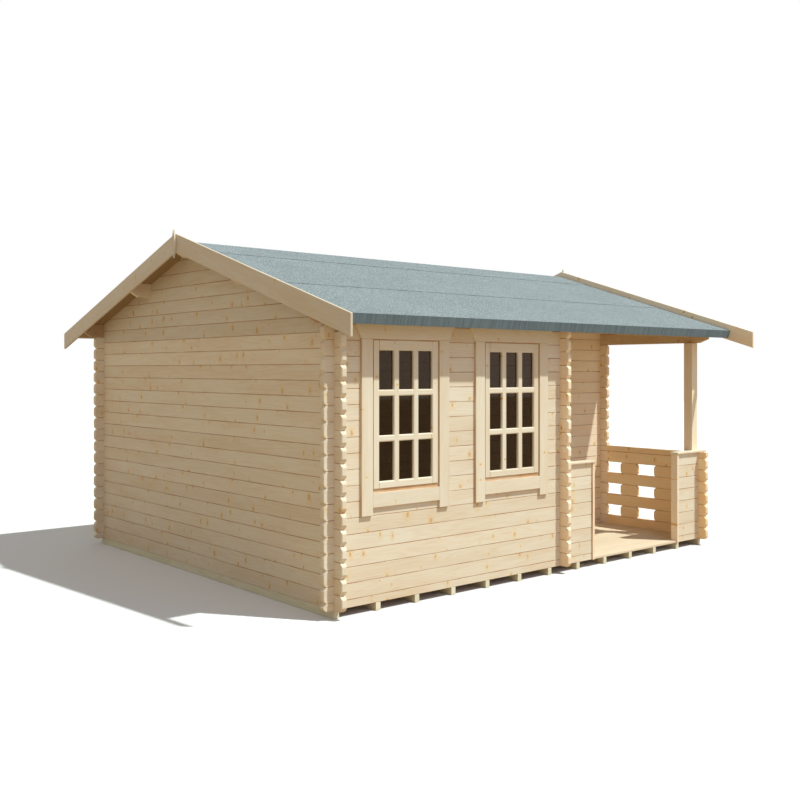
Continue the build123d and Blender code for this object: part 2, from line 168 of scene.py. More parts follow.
figure = {
    "knotCells": 6.4,                # places for knots per metre
    "knotForm": (1.3, .75),          # knots are narrow along the grain and long across it
    "knotSize": .2,
    "wander": (26.0, .022),          # scale and reach of the noise that bends a knot's outline
    "core": (1.15, .35, .66),        # a knot's dark middle: outer and inner radius, strength
    "halo": (3.6, .6, .9),           # the glow round it
    "glow": (1.01, .945, .78, 1),
    "rings": ((.5, 9, 9), 1.9, 58.0, 4.0, 2.2),    # stretch, scale, number, bend at knots, sharpness
    "fibre": (5, 420, 420),
    "blotch": ((.9, 5, 5), 1.3, (.35, .7), .35),   # stretch, scale, limits, share
    "toneWarm": (.19, .055),         # how a board's tone warms it, and how it darkens it
    "toneLevel": (-.045, .0225),
    "fibreLevel": (.16, .92),
    "relief": (.35, .65),            # of rings and of fibres
    "rough": (.14, .55),
    "seamAndShadePatch": ((3.2, 1, 1), (.36, .64, .35, 1.0)),
}
usualSeamAndShade = "#AC6A24"                # stain in the joints of logs, and painted shade on the trims' edges


def spruceFigure():
    # growth rings, fibres and knots; Place runs along the grain in X
    tree, given, out = newGroup("spruceFigure", [
        ("Place", "Vector", (0, 0, 0)), ("Tone", "Float", .5), ("JointStainAndShade", "Float", 0.0),
        ("Pale", "Color", colour("#EBD9B7")), ("Warm", "Color", colour("#DDBD8B")),
        ("Knot", "Color", colour("#A8703C")), ("Seam", "Color", colour(usualSeamAndShade)),
        ("Rings", "Float", .5), ("Knots", "Float", .5)],
        [("Color", "Color"), ("Height", "Float"), ("Roughness", "Float")])
    place = given["Place"]

    # knots: only the cells whose chance is high enough have one
    spot = addNode(tree, "SeparateXYZ", {0: place}).outputs
    along, across = figure["knotForm"]
    face = addNode(tree, "CombineXYZ", {0: calc(tree, "MULTIPLY", spot[0], along),
                                        1: calc(tree, "MULTIPLY", spot[2], across)}).outputs[0]
    scale, reach = figure["wander"]
    wander = addNode(tree, "TexNoise", {"Vector": place, "Scale": scale, "Detail": 1.0}).outputs["Color"]
    face = addNode(tree, "VectorMath", {0: wander, 1: (reach, reach, 0), 2: face},
                   operation="MULTIPLY_ADD").outputs[0]
    cells = addNode(tree, "TexVoronoi", {"Vector": face, "Scale": figure["knotCells"]},
                    voronoi_dimensions="2D")
    chanceOf = addNode(tree, "SeparateXYZ", {0: cells.outputs["Color"]}).outputs[0]
    over = calc(tree, "SUBTRACT", chanceOf, calc(tree, "SUBTRACT", 1.0, given["Knots"]))
    size = calc(tree, "MULTIPLY", over, figure["knotSize"])
    ratio = calc(tree, "DIVIDE", cells.outputs["Distance"], calc(tree, "MAXIMUM", size, .0005))
    core = ramp(tree, ratio, *figure["core"][:2])
    halo = ramp(tree, ratio, *figure["halo"][:2])

    # rings bend round the knots; fibres are finer and blotches broader
    form, scale, count, bend, sharp = figure["rings"]
    broad = noise(tree, stretch(tree, place, form), scale, 1.5, Distortion=.3)
    phase = calc(tree, "ADD", calc(tree, "MULTIPLY", broad, count), calc(tree, "MULTIPLY", halo, bend))
    rings = calc(tree, "POWER", calc(tree, "MULTIPLY_ADD", calc(tree, "SINE", phase), .5, .5), sharp)
    fibre = noise(tree, stretch(tree, place, figure["fibre"]), 1.0, 2.0)
    form, scale, limits, share = figure["blotch"]
    blotch = ramp(tree, noise(tree, stretch(tree, place, form), scale, 2.0), *limits)

    # the colour: pale to warm, darker by fibre and tone, then the knots, then the stained joints and the
    # painted shade on board edges
    toneWarm = calc(tree, "MULTIPLY_ADD", given["Tone"], *figure["toneWarm"])
    warmth = calc(tree, "ADD", calc(tree, "MULTIPLY", rings, given["Rings"]),
                  calc(tree, "MULTIPLY_ADD", blotch, share, toneWarm))
    body = mixColour(tree, warmth, given["Pale"], given["Warm"])
    level = calc(tree, "ADD", calc(tree, "MULTIPLY_ADD", fibre, *figure["fibreLevel"]),
                 calc(tree, "MULTIPLY_ADD", given["Tone"], *figure["toneLevel"]))
    level = addNode(tree, "CombineXYZ", {0: level, 1: level, 2: level}).outputs[0]
    body = mixColour(tree, 1.0, body, level, "MULTIPLY")
    body = mixColour(tree, calc(tree, "MULTIPLY", halo, figure["halo"][2]), body, figure["glow"], "MULTIPLY")
    body = mixColour(tree, calc(tree, "MULTIPLY", core, figure["core"][2]), body, given["Knot"])
    form, patch = figure["seamAndShadePatch"]
    patchy = ramp(tree, noise(tree, stretch(tree, place, form), 1.0, 2.0), *patch)
    seam = calc(tree, "MULTIPLY", given["JointStainAndShade"], patchy)
    ringRelief, fibreRelief = figure["relief"]
    height = calc(tree, "ADD", calc(tree, "MULTIPLY", rings, ringRelief),
                  calc(tree, "MULTIPLY", fibre, fibreRelief))
    tree.links.new(mixColour(tree, seam, body, given["Seam"]), out.inputs["Color"])
    tree.links.new(height, out.inputs["Height"])
    tree.links.new(calc(tree, "MULTIPLY_ADD", fibre, *figure["rough"]), out.inputs["Roughness"])
    return tree


def newMaterial(name):
    material = bpy.data.materials.new(name)
    material.use_nodes = True
    tree = material.node_tree
    return material, tree, tree.nodes["Principled BSDF"]


spruce = spruceFigure()


def timber(name, look):
    material, tree, shader = newMaterial(name)
    group = addNode(tree, "Group", node_tree=spruce)
    for attribute, output, key in (("grain", "Vector", "Place"), ("tone", "Fac", "Tone"),
                                   ("jointStainAndShade", "Fac", "JointStainAndShade")):
        source = addNode(tree, "Attribute", attribute_name=attribute)
        tree.links.new(source.outputs[output], group.inputs[key])
    for key in ("Pale", "Warm", "Knot"):
        group.inputs[key].default_value = colour(look[key])
    group.inputs["Seam"].default_value = colour(look.get("Seam", usualSeamAndShade))
    for key in ("Rings", "Knots"):
        group.inputs[key].default_value = look[key]
    tree.links.new(group.outputs["Color"], shader.inputs["Base Color"])
    tree.links.new(group.outputs["Roughness"], shader.inputs["Roughness"])
    bump = addNode(tree, "Bump", {"Height": group.outputs["Height"], "Strength": look["bump"],
                                  "Distance": .001})
    tree.links.new(bump.outputs[0], shader.inputs["Normal"])
    shader.inputs["Specular IOR Level"].default_value = .3
    return material


logTimber = timber("logTimber", {
    "Pale": "#EEE3CE", "Warm": "#E1C8A6", "Knot": "#D39A56", "Rings": .26, "Knots": .66, "bump": .2})
# the boards' seam colour is painted shade, on the edges of window and door boards and in the slots round
# sashes
boardTimber = timber("boardTimber", {
    "Pale": "#EFE4D0", "Warm": "#E4CEAC", "Knot": "#D1914A", "Rings": .22, "Knots": .42, "bump": .15,
    "Seam": "#C28438"})
bearerTimber = timber("bearerTimber", {
    "Pale": "#F0EBD2", "Warm": "#DDD6B6", "Knot": "#B0A078", "Rings": .5, "Knots": .3, "bump": .5})
floorTimber = timber("floorTimber", {
    "Pale": "#E7D4B9", "Warm": "#DCC5A6", "Knot": "#C08C5C", "Rings": .25, "Knots": .42, "bump": .15})
# painted shade: the left gable's logs are darker than the walls', standing in for the shade under the verge
shadedGableTimber = timber("shadedGableTimber", {
    "Pale": "#DCD2BF", "Warm": "#D0B99A", "Knot": "#C3823C", "Rings": .26, "Knots": .66, "bump": .2})
bargeTimber = timber("bargeTimber", {
    "Pale": "#DDD2BF", "Warm": "#D3BC9D", "Knot": "#C28040", "Rings": .22, "Knots": .42, "bump": .15})
# painted shade: the roof boards are dark, standing in for the shade under the eaves and verges
shadedRoofTimber = timber("shadedRoofTimber", {
    "Pale": "#A78B65", "Warm": "#97774D", "Knot": "#8A6236", "Rings": .3, "Knots": .42, "bump": .15})
# painted shade: the eave logs are darker, standing in for the shade under the eaves
shadedBeamTimber = timber("shadedBeamTimber", {
    "Pale": "#BEA07D", "Warm": "#AE8C68", "Knot": "#95703F", "Rings": .3, "Knots": .6, "bump": .2})
# painted light: the porch's timber, the rail, the post and the right gable are brighter, warmer copies of
# the log timber, standing in for warm light thrown back from the sunlit porch floor
porchLitTimber = timber("porchLitTimber", {
    "Pale": "#FFEFD6", "Warm": "#FADAB4", "Knot": "#CC8F4E", "Rings": .3, "Knots": .6, "bump": .2})
railLitTimber = timber("railLitTimber", {
    "Pale": "#FFE6BE", "Warm": "#FFD29C", "Knot": "#D08F48", "Rings": .3, "Knots": .6, "bump": .2})
postLitTimber = timber("postLitTimber", {
    "Pale": "#FFF2DA", "Warm": "#F8DFBB", "Knot": "#CC8F4E", "Rings": .3, "Knots": 0.0, "bump": .2})
porchGableLitTimber = timber("porchGableLitTimber", {
    "Pale": "#E4CDAA", "Warm": "#D9B88C", "Knot": "#B98148", "Rings": .26, "Knots": .66, "bump": .2})

felt = {
    "light": "#A9B3B6",
    "dark": "#3F484B",
    "granules": (115.0, 4.0, .75),           # scale, detail and roughness of their noise
    "granuleShare": (.32, .68, 0.0, .95),
    "patches": (2.2, 3.0),
    "patchShare": (.3, .7, .04, .10),
    "bump": .5,
    "seam": "#3F484B",
    "laps": (1.342, .382),                   # the sheets' lower edges, from the ridge
    "lapWide": .007,
    "lapBreaks": 9.0,                        # lap lines are uneven along the roof
    "lapShare": (.38, .6, .15, .85),
    "drip": "#758891",                       # the felt's edge on the fascia
    "dripDark": "#66777F",
    "streaks": (70, 1, 4),
    "streakShare": (.4, .62),
}


def feltMaterial():
    material, tree, shader = newMaterial("roofFelt")
    coords = addNode(tree, "TexCoord").outputs
    scale, detail, rough = felt["granules"]
    granule = noise(tree, coords["Object"], scale, detail, Roughness=rough)
    patch = noise(tree, coords["Object"], *felt["patches"])
    share = calc(tree, "ADD", ramp(tree, granule, *felt["granuleShare"]),
                 ramp(tree, patch, *felt["patchShare"]))
    top = mixColour(tree, share, colour(felt["light"]), colour(felt["dark"]))

    # lap lines
    spot = addNode(tree, "SeparateXYZ", {0: coords["Object"]}).outputs
    away = calc(tree, "ABSOLUTE", spot[1])
    along = calc(tree, "MULTIPLY", spot[0], felt["lapBreaks"])
    along = addNode(tree, "CombineXYZ", {0: along, 1: away}).outputs[0]
    strong = ramp(tree, noise(tree, along, 1.0, 2.0), *felt["lapShare"])
    wavy = calc(tree, "MULTIPLY_ADD", patch, felt["lapWide"], felt["lapWide"] / 2)
    for lap in felt["laps"]:
        gap = calc(tree, "ABSOLUTE", calc(tree, "SUBTRACT", away, lap))
        line = calc(tree, "MULTIPLY", ramp(tree, calc(tree, "DIVIDE", gap, wavy), 1.0, .4), strong)
        top = mixColour(tree, line, top, colour(felt["seam"]))

    # the upright edge has its own colour
    streak = noise(tree, stretch(tree, coords["Object"], felt["streaks"]), 1.0, 2.0)
    streak = ramp(tree, streak, *felt["streakShare"])
    edge = mixColour(tree, streak, colour(felt["drip"]), colour(felt["dripDark"]))
    facing = addNode(tree, "SeparateXYZ", {0: coords["Normal"]}).outputs
    side = ramp(tree, calc(tree, "ABSOLUTE", facing[2]), .7, .5)
    tree.links.new(mixColour(tree, side, top, edge), shader.inputs["Base Color"])
    shader.inputs["Roughness"].default_value = .9
    bump = addNode(tree, "Bump", {"Height": granule, "Strength": felt["bump"], "Distance": .0015})
    tree.links.new(bump.outputs[0], shader.inputs["Normal"])
    return material


def plainMaterial(name, code, values):
    material, tree, shader = newMaterial(name)
    shader.inputs["Base Color"].default_value = colour(code)
    for key, value in values.items():
        shader.inputs[key].default_value = value
    return material


roofFelt = feltMaterial()
# painted shade: the glass is tinted brown so the room behind it looks dark, and its reflections are tinted
# warm
shadeTintedGlass = plainMaterial("shadeTintedGlass", "#9E8872", {
    "Transmission Weight": 1.0, "Roughness": .02, "IOR": 1.45,
    "Specular IOR Level": .25, "Specular Tint": (1, .72, .5, 1)})
handleSteel = plainMaterial("handleSteel", "#C4C4C2", {"Metallic": 1.0, "Roughness": .32})
print("materials made")

boards = {
    "edge": .002,            # usual eased edge
    "sharp": .6,             # least angle between two faces that is eased, in radians
    "mould": .009,           # rounded edges of window bars and rails
    "endZone": .026,         # length of a free log end's shaped part
    "chamfer": .0245,        # its slanted faces above and below
    "upright": .006,         # chamfer on its upright edges,
    "uprightFrom": .08,      # on logs of more than this height
    "stainAndShadeReach": .45,       # how far joint stain and painted shade go up an eased edge, as a share of it
}


def frameOf(centre, lengthWay, wideWay):
    matrix = Matrix((lengthWay, wideWay.cross(lengthWay), wideWay)).transposed().to_4x4()
    matrix.translation = centre
    return matrix


def bevelEdges(bm, edges, offset, segments=1):
    bmesh.ops.bevel(bm, geom=edges, offset=offset, offset_type="OFFSET", affect="EDGES",
                    segments=segments, profile=.5, material=-1, clamp_overlap=True)


def cutAway(bm, point, normal):
    # takes off what lies beyond a plane and closes the cut
    if not bm.faces:
        return
    cut = bmesh.ops.bisect_plane(bm, geom=bm.verts[:] + bm.edges[:] + bm.faces[:], dist=tiny,
                                 plane_co=Vector(point) + corner, plane_no=Vector(normal), clear_outer=True)
    rim = [g for g in cut["geom_cut"] if isinstance(g, bmesh.types.BMEdge)]
    if rim:
        bmesh.ops.holes_fill(bm, edges=rim, sides=0)


def shapeEnds(bm, half, ends, chamfer):
    # free ends: slanted faces above and below, then chamfers on the upright edges
    level = []
    for e in bm.edges:
        middle = (e.verts[0].co + e.verts[1].co) / 2
        if abs(middle.y) < tiny and abs(abs(middle.x) - half[0]) < tiny:
            if ends[middle.x > 0] == "free" and chamfer[middle.z > 0]:
                level.append(e)
    if level:
        bevelEdges(bm, level, boards["chamfer"])
    upright = [e for e in bm.edges if all(
        abs(abs(v.co.x) - half[0]) < tiny and abs(abs(v.co.y) - half[1]) < tiny
        and ends[v.co.x > 0] == "free" for v in e.verts)]
    if upright and 2 * half[2] > boards["uprightFrom"]:
        bevelEdges(bm, upright, boards["upright"])


def mouldEdges(bm, middle, lengthWay, moulded):
    # rounds the long edges that lie off the middle in all the ways of a group
    chosen = []
    for e in bm.edges:
        way = (e.verts[1].co - e.verts[0].co).normalized()
        offset = (e.verts[0].co + e.verts[1].co) / 2 - middle
        inGroup = any(all(offset.dot(Vector(w)) > tiny for w in ways) for ways in moulded)
        if abs(way.dot(lengthWay)) > .99 and inGroup:
            chosen.append(e)
    bevelEdges(bm, chosen, boards["mould"], segments=3)


def easeEdges(bm, inverse, half, ends, edge, segments):
    # eases the sharp edges, but not where two pieces of a log meet and not in a free end
    eased = []
    for e in bm.edges:
        if len(e.link_faces) != 2 or e.calc_face_angle(0) < boards["sharp"]:
            continue
        places = [inverse @ v.co for v in e.verts]
        left = False
        for i, s in enumerate((-1, 1)):
            if ends[i] == "flush" and all(abs(p.x - s * half[0]) < near for p in places):
                left = True
            if ends[i] == "free" and all(s * p.x > half[0] - boards["endZone"] for p in places):
                left = True
        if not left:
            eased.append(e)
    bevelEdges(bm, eased, edge, segments)


def addLayers(bm):
    # what the timber's material reads: place in the board, its tone, share of joint stain on logs and of
    # painted shade on boards
    return (bm.verts.layers.float_vector.new("grain"), bm.verts.layers.float.new("tone"),
            bm.verts.layers.float.new("jointStainAndShade"))


def markPoints(bm, inverse, half, ends, edge, paintedShade, edgeStain):
    grain, tone, jointStainAndShade = addLayers(bm)
    offset = Vector((chance.uniform(0, 60), chance.uniform(0, 9), chance.uniform(0, 30)))
    level = chance.random()
    for v in bm.verts:
        place = inverse @ v.co
        v[grain] = place + offset
        v[tone] = level
        # the whole piece takes its painted shade, and its two edges the joint stain on logs and the painted
        # shade on boards
        v[jointStainAndShade] = paintedShade
        inEnd = any(ends[i] == "free" and s * place.x > half[0] - boards["endZone"] + 10 * near
                    for i, s in enumerate((-1, 1)))
        if not inEnd and half[2] - abs(place.z) < edge * boards["stainAndShadeReach"]:
            v[jointStainAndShade] = max(paintedShade, edgeStain[place.z >= 0])


def addBoard(piece, centre, lengthWay, wideWay, size, edge=boards["edge"], segments=2,
             ends=("butt", "butt"), chamfer=(True, True), trims=(), cuts=(), moulded=(),
             paintedShade=0.0, edgeStain=(0.0, 0.0)):
    # one board or log: length, thickness, width; trims come before its edges are eased, cuts after
    middle = Vector(centre) + corner
    matrix = frameOf(middle, lengthWay, wideWay)
    inverse = matrix.inverted()
    half = [s / 2 for s in size]
    bm = bmesh.new()
    bmesh.ops.create_cube(bm, size=1.0)
    bmesh.ops.scale(bm, vec=size, verts=bm.verts)
    shapeEnds(bm, half, ends, chamfer)
    bmesh.ops.transform(bm, matrix=matrix, verts=bm.verts)
    for point, normal in trims:
        cutAway(bm, point, normal)
    if moulded:
        mouldEdges(bm, middle, lengthWay, moulded)
    easeEdges(bm, inverse, half, ends, edge, segments)
    for i, s in enumerate((-1, 1)):
        if ends[i] == "free":
            # a line of points where the shaped end starts, so that the joint's colour ends there
            bmesh.ops.bisect_plane(bm, geom=bm.verts[:] + bm.edges[:] + bm.faces[:], dist=tiny,
                                   plane_co=matrix @ Vector((s * (half[0] - boards["endZone"]), 0, 0)),
                                   plane_no=lengthWay)
    for point, normal in cuts:
        cutAway(bm, point, normal)
    bmesh.ops.dissolve_degenerate(bm, dist=near, edges=bm.edges)
    markPoints(bm, inverse, half, ends, edge, paintedShade, edgeStain)
    bmesh.ops.recalc_face_normals(bm, faces=bm.faces)
    mesh = bpy.data.meshes.new("part")
    bm.to_mesh(mesh)
    bm.free()
    piece.from_mesh(mesh)
    bpy.data.meshes.remove(mesh)


def addSlab(piece, low, high, along, wide, **finish):
    # a board given by two opposite corners
    low, high = Vector(low), Vector(high)
    across = ({"x", "y", "z"} - {along, wide}).pop()
    size = [(high - low)["xyz".index(a)] for a in (along, across, wide)]
    addBoard(piece, (low + high) / 2, axes[along], axes[wide], size, **finish)


def startPiece():
    piece = bmesh.new()
    addLayers(piece)
    return piece


def makeObject(piece, name, material):
    mesh = bpy.data.meshes.new(name)
    piece.to_mesh(mesh)
    piece.free()
    mesh.materials.append(material)
    obj = bpy.data.objects.new(name, mesh)
    bpy.context.scene.collection.objects.link(obj)
    return obj


def finishPiece(piece, name, nodes, material):
    obj = makeObject(piece, name, material)
    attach(obj, "root")
    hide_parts(*nodes)
    print("piece", name, len(obj.data.polygons))


logs = {
    "edge": .0038,
    "most": 30,              # courses looked at, more than the gable has
    "gap": .001,             # levels nearer than this count as one
}


def phaseOf(along):
    # walls along X start with half a log
    return 0 if along == "y" else cabin["log"] / 2


def isJoint(z, along):
    count = (z - phaseOf(along)) / cabin["log"]
    return z > logs["gap"] and abs(count - round(count)) < .01


def coursesOf(low, high, along):
    joints = [phaseOf(along) + i * cabin["log"] for i in range(logs["most"])]
    inside = [z for z in joints if low + logs["gap"] < z < high - logs["gap"]]
    levels = [low] + inside + [high]
    return list(zip(levels, levels[1:]))


def addLog(piece, along, across, start, end, low, high, ends=("butt", "butt"), **finish):
    chamfer = (isJoint(low, along) or low == 0, isJoint(high, along))
    if along == "x":
        corners = (start, across, low), (end, across + logThick, high)
    else:
        corners = (across, start, low), (across + logThick, end, high)
    addSlab(piece, *corners, along, "z", edge=logs["edge"], ends=ends, chamfer=chamfer,
            edgeStain=(1.0, 1.0), **finish)


def addWall(piece, along, across, start, end, low, high, ends=("free", "free"), holes=(), cuts=()):
    # holes are (from, to, low, high); a log is split beside each
    for z0, z1 in coursesOf(low, high, along):
        runs = [(start, end, z0, z1, ends[0], ends[1])]
        for h0, h1, bottom, top in holes:
            split = []
            for a, b, low0, high0, s0, s1 in runs:
                if b <= h0 or a >= h1 or high0 <= bottom or low0 >= top:
                    split.append((a, b, low0, high0, s0, s1))
                    continue
                split += [(a, h0, low0, high0, s0, "butt"), (h1, b, low0, high0, "butt", s1)]
                if low0 < bottom:
                    split.append((h0, h1, low0, bottom, "flush", "flush"))
                if high0 > top:
                    split.append((h0, h1, top, high0, "flush", "flush"))
            runs = split
        for a, b, low0, high0, s0, s1 in runs:
            addLog(piece, along, across, a, b, low0, high0, ends=(s0, s1), cuts=cuts)


windows = {
    "middles": (.654, 1.788),
    "clear": .646,                   # between the outside boards
    "board": .102,
    "boardOut": .020,
    "boardEdge": .0025,
    "boardPaintedShade": .8,                # painted shade on both edges of heads and sills
    "sidePaintedShade": (.6, .3),           # painted shade on the outer and inner edge of the side boards
    "sideFoot": .630,
    "sill": (.685, .790),
    "head": (1.893, 2.000),
    "flare": .055,
    "frameFace": .040,
    "frameBack": .026,
    "frameOut": .004,
    "frameEdge": .0015,
    "framePaintedShade": .7,                # painted shade over the whole frame, which shows only in the slots round the sash
    "hole": (.0017, .042),           # wall hole past the frame at the sides, past the sash below and above
    "fit": .0003,
    "sashOut": .012,
    "slot": (.012, .006, .014),      # gap beside a sash, above it and below it
    "sashThick": .042,
    "sashEdge": .0006,
    # painted shade on the sash's outer edges, which show in the slots
    "sashPaintedShade": .6,
    "sash": (.805, 1.890),
    "pane": (.138, .284),
    "bar": (.050, .046),
    "barEdge": .001,
    "barIn": .010,                   # bars run into the sash
    "barBack": .0006,                # level bars behind the upright ones
    "paneFoot": .868,
}
sideGap, overGap = windows["hole"]
openHalf = windows["clear"] / 2 + windows["frameFace"] + sideGap
openings = [(x - openHalf, x + openHalf, windows["sash"][0] - overGap, windows["sash"][1] + overGap)
            for x in windows["middles"]]


def frontWall():
    piece = startPiece()
    rail, past = cabin["railTop"], partitionEnd + logEnd
    addWall(piece, "x", 0, -logEnd, partitionEnd, 0, rail, ends=("free", "flush"), holes=openings)
    addWall(piece, "x", 0, -logEnd, past, rail, cabin["eaveFoot"], holes=openings)
    finishPiece(piece, "frontLogs", ["front_wall"], logTimber)


def backWall():
    piece = startPiece()
    addWall(piece, "x", backY, -logEnd, cabin["length"] + logEnd, 0, cabin["eaveFoot"])
    finishPiece(piece, "backLogs", ["back_wall"], logTimber)


def leftWall():
    piece = startPiece()
    addWall(piece, "y", 0, -logEnd, cabin["width"] + logEnd, 0, cabin["gableFoot"])
    finishPiece(piece, "leftLogs", ["left_wall"], logTimber)


openRail = {
    "rows": (1, 3, 5),                       # rows of short blocks, counted from the ground
    "holes": ((.518, .722), (.938, None)),   # the last one ends at the wall
}


def rightWallAndRail():
    wall, rail = startPiece(), startPiece()
    wallStart, wallEnd = cabin["porch"] - logEnd, cabin["width"] + logEnd
    for z0, z1 in coursesOf(0, cabin["railTop"], "y"):
        if round(z0 / cabin["log"]) in openRail["rows"]:
            addLog(wall, "y", rightX, wallStart, wallEnd, z0, z1, ends=("free", "free"))
            start = -logEnd
            for stop, resume in openRail["holes"]:
                addLog(rail, "y", rightX, start, stop, z0, z1, ends=("free", "free"))
                start = resume
        else:
            addLog(wall, "y", rightX, wallStart, wallEnd, z0, z1, ends=("flush", "free"))
            addLog(rail, "y", rightX, -logEnd, wallStart, z0, z1, ends=("free", "flush"))
    addWall(wall, "y", rightX, wallStart, wallEnd, cabin["railTop"], cabin["gableFoot"])
    finishPiece(wall, "rightLogs", ["right_wall"], porchLitTimber)
    finishPiece(rail, "railLogs", ["porch_rail"], railLitTimber)


door = {
    "middle": partitionEnd + .474 * (rightX - partitionEnd),     # about half way along its wall
    "leaf": .840,
    "top": 16.5 * cabin["log"],      # of the hole in the wall
    "foot": .022,
    "rail": .095,
    "thick": .042,
    "gap": .002,             # round the frame
    "boardFoot": .020,
    "lowRailEdge": .0012,
    "panels": 5,
    "panel": (.009, .033),   # front and back of the panel boards, from the door's face
}
doorHalf = door["leaf"] / 2 + windows["fit"] + windows["frameFace"] + door["gap"]


def recessWall():
    piece = startPiece()
    doorHole = (door["middle"] - doorHalf, door["middle"] + doorHalf, -1, door["top"])
    addWall(piece, "x", cabin["porch"], cabin["partition"] - logEnd, cabin["length"] + logEnd, 0,
            underRoof(recessBack), cuts=roofCuts[:1], holes=[doorHole])
    nodes = ["recess_wall_left", "recess_wall_right", "recess_wall_over"]
    finishPiece(piece, "recessLogs", nodes, porchLitTimber)


def partitionWall():
    piece = startPiece()
    end = recessBack + logEnd
    addWall(piece, "y", cabin["partition"], -logEnd, end, 0, underRoof(end), cuts=roofCuts[:1])
    finishPiece(piece, "partitionLogs", ["partition_wall"], porchLitTimber)


gable = {
    "noseLong": .100,        # the lowest log's end beyond the walls
    "noseRise": .036,
}


def gables():
    tip, up = gable["noseLong"], gable["noseRise"]
    foot, width = cabin["gableFoot"], cabin["width"]
    nose = [((0, 0, foot), (0, -up, -tip)), ((0, width, foot), (0, up, -tip))]
    # the left gable is painted with shade, the right one with the porch's warm light
    for side, across, material in (("left", 0, shadedGableTimber), ("right", rightX, porchGableLitTimber)):
        piece = startPiece()
        for z0, z1 in coursesOf(foot, underRoof(ridgeY), "y"):
            addLog(piece, "y", across, -tip, width + tip, z0, z1, cuts=roofCuts + nose)
        finishPiece(piece, side + "GableLogs", [side + "_gable"], material)


beams = {
    "toe": (.060, .036),     # slanted cut under each end
    "eaveEdge": .0032,
    "purlinThick": .044,
    "purlinHigh": .114,
    "purlinY": 1.062,
    "spare": (.001, .020),   # eave log's and purlin's stock above the roof line, cut off later
}


def toeCuts(low):
    run, up = beams["toe"]
    return [((roofStart + run, 0, low), (-up, 0, -run)), ((roofEnd - run, 0, low), (up, 0, -run))]


def roofBeams():
    piece = startPiece()
    foot = cabin["eaveFoot"]
    top = underRoof(logThick) + beams["spare"][0]
    for y0 in (0, backY):
        addSlab(piece, (roofStart, y0, foot), (roofEnd, y0 + logThick, top), "x", "z",
                edge=beams["eaveEdge"], trims=toeCuts(foot), cuts=roofCuts)
    finishPiece(piece, "eaveLogs", ["eave_logs"], shadedBeamTimber)
    half, sideY = beams["purlinThick"] / 2, beams["purlinY"]
    for name, node, places in (("sidePurlins", "side_purlins", (sideY, cabin["width"] - sideY)),
                               ("ridgePurlin", "ridge_purlin", (ridgeY,))):
        piece = startPiece()
        for y in places:
            low, high = underRoof(y) - beams["purlinHigh"], underRoof(y) + beams["spare"][1]
            addSlab(piece, (roofStart, y - half, low), (roofEnd, y + half, high), "x", "z",
                    trims=toeCuts(low), cuts=roofCuts)
        finishPiece(piece, name, [node], logTimber)


for build in (frontWall, backWall, leftWall, rightWallAndRail, recessWall, partitionWall, gables,
              roofBeams):
    build()
print("log walls built")

boarding = {
    "wide": .0873,
    "start": .021,           # from the eave, behind the fascia
    "spare": .02,            # stock past the ridge, cut off later
    "fasciaThick": .018,
    "fasciaDepth": .0765,
}


def slopePoint(along, depth):
    foot = Vector((0, -roof["eaveOut"], roof["eaveTop"]))
    return foot + upFront * along - offFront * depth


def mirrored(point):
    return Vector((point[0], cabin["width"] - point[1], point[2]))


def roofBoards():
    slope = (ridgeY + roof["eaveOut"]) / math.cos(roof["angle"])
    count = round((roofEnd - roofStart) / boarding["wide"])
    wide = (roofEnd - roofStart) / count
    length = slope + boarding["spare"] - boarding["start"]
    middle = slopePoint(boarding["start"] + length / 2, roof["felt"] + roof["board"] / 2)
    for side in ("front", "back"):
        piece = startPiece()
        for i in range(count):
            centre = middle + axes["x"] * (roofStart + (i + .5) * wide)
            way, pastRidge = upFront, axes["y"]
            if side == "back":
                centre, way, pastRidge = mirrored(centre), flip(upFront), -axes["y"]
            addBoard(piece, centre, way, axes["x"], (length, roof["board"], wide), segments=1,
                     trims=[((0, ridgeY, 0), pastRidge)])
        finishPiece(piece, side + "RoofBoards", ["roof_boards_" + side], shadedRoofTimber)


def eaveFascias():
    piece = startPiece()
    depth = (roof["felt"] + boarding["fasciaDepth"]) / 2
    centre = slopePoint(roof["felt"] + boarding["fasciaThick"] / 2, depth)
    centre += axes["x"] * (roofStart + roofEnd) / 2
    size = (roofEnd - roofStart, boarding["fasciaThick"], boarding["fasciaDepth"] - roof["felt"])
    addBoard(piece, centre, axes["x"], offFront, size)
    addBoard(piece, mirrored(centre), axes["x"], flip(offFront), size)
    finishPiece(piece, "eaveFascias", ["eave_fascias"], boardTimber)


barge = {
    "wide": .148,
    "out": .457,
    "top": 2.040,
    "spare": .1,             # stock past foot and ridge, cut off later
    "edge": .003,
    "plate": (.072, .244, .018),
    "plateAbove": .035,
}


def bargeboards():
    length = (ridgeY + barge["out"]) / math.cos(roof["angle"]) + barge["spare"]
    middleY = (ridgeY - barge["out"]) / 2
    topZ = barge["top"] + (middleY + barge["out"]) * rise
    size = (length, roof["barge"], barge["wide"])
    # the right barges take the porch's timber, painted with its warm light
    for side, x, material in (("left", -roof["verge"] + roof["barge"] / 2, bargeTimber),
                              ("right", roofEnd + roof["barge"] / 2, porchLitTimber)):
        centre = Vector((x, middleY, topZ)) - offFront * barge["wide"] / 2
        for end in ("Front", "Back"):
            place, way, wide, outward = centre, upFront, offFront, -axes["y"]
            foot = -barge["out"]
            if end == "Back":
                place, way, wide, outward = mirrored(centre), flip(upFront), flip(offFront), axes["y"]
                foot = cabin["width"] + barge["out"]
            piece = startPiece()
            addBoard(piece, place, way, wide, size, edge=barge["edge"],
                     trims=[((0, foot, 0), outward), ((0, ridgeY, 0), -outward)])
            node = "bargeboard_" + side + "_" + end.lower()
            finishPiece(piece, side + end + "Barge", [node], material)


